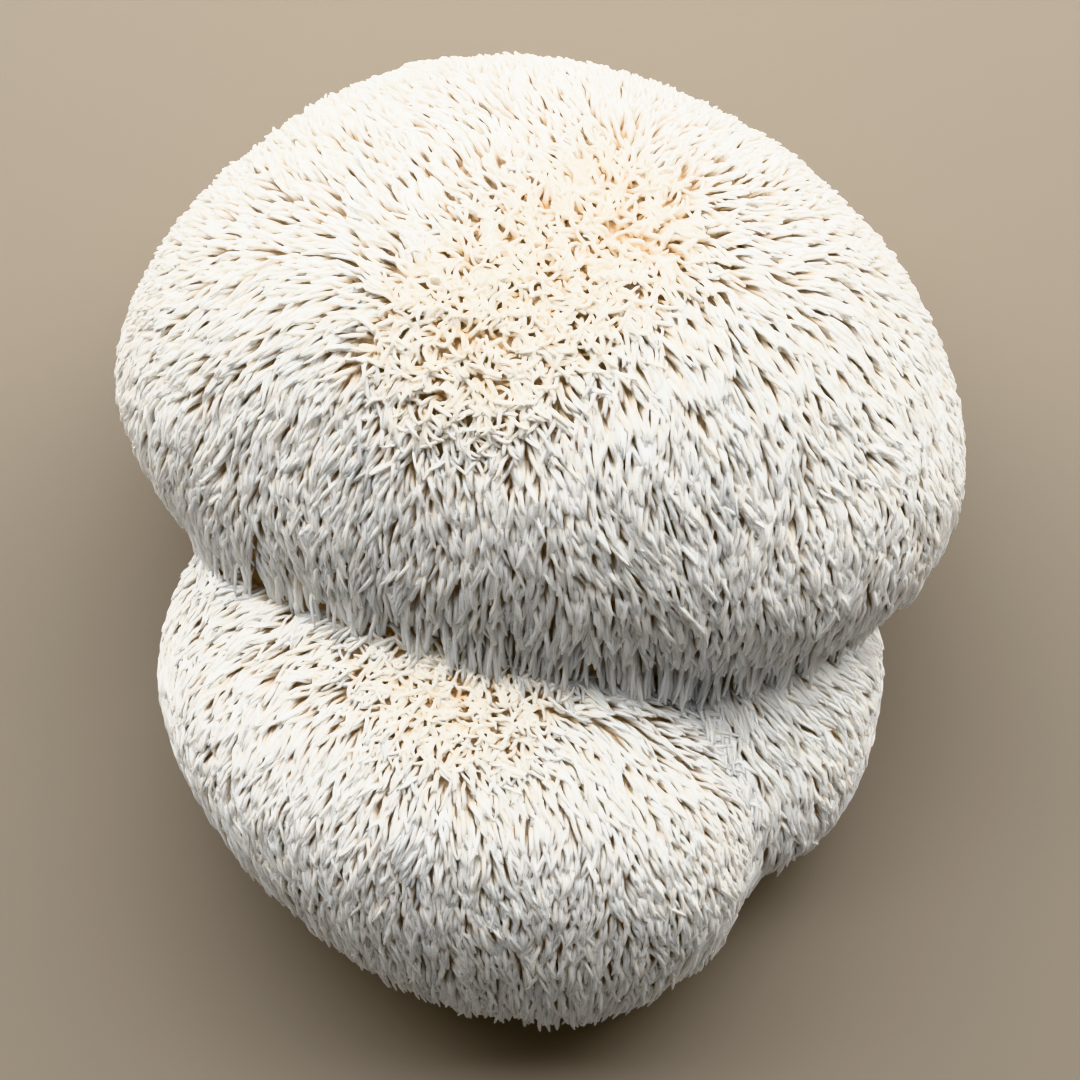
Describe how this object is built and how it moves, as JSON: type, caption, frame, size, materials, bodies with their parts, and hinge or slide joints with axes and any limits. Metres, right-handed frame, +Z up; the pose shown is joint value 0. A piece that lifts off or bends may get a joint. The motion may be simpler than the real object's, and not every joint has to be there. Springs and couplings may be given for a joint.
{
  "type": "lion's mane mushroom",
  "caption": "Cluster of rounded, white-spined fungus lobes grown together on a short base that is cut off flat.",
  "frame": {"origin": "middle of the flat cut face that it rests on", "axes": "+Z up and away from the cut face, -Y the way the spines hung while it grew, +X to the right in the picture"},
  "size_m": [0.1569, 0.1868, 0.104],
  "materials": {
    "spines": "soft matt ivory spines, cream to orange-tan between them at the crowns",
    "cut_flesh": "matt, finely fibrous cut flesh with a tanned rim"
  },
  "bodies": {
    "root": {"upper_lobe": "spines", "front_lobe": "spines", "side_lobe": "spines", "cut_base": "cut_flesh"}
  },
  "joints": []
}
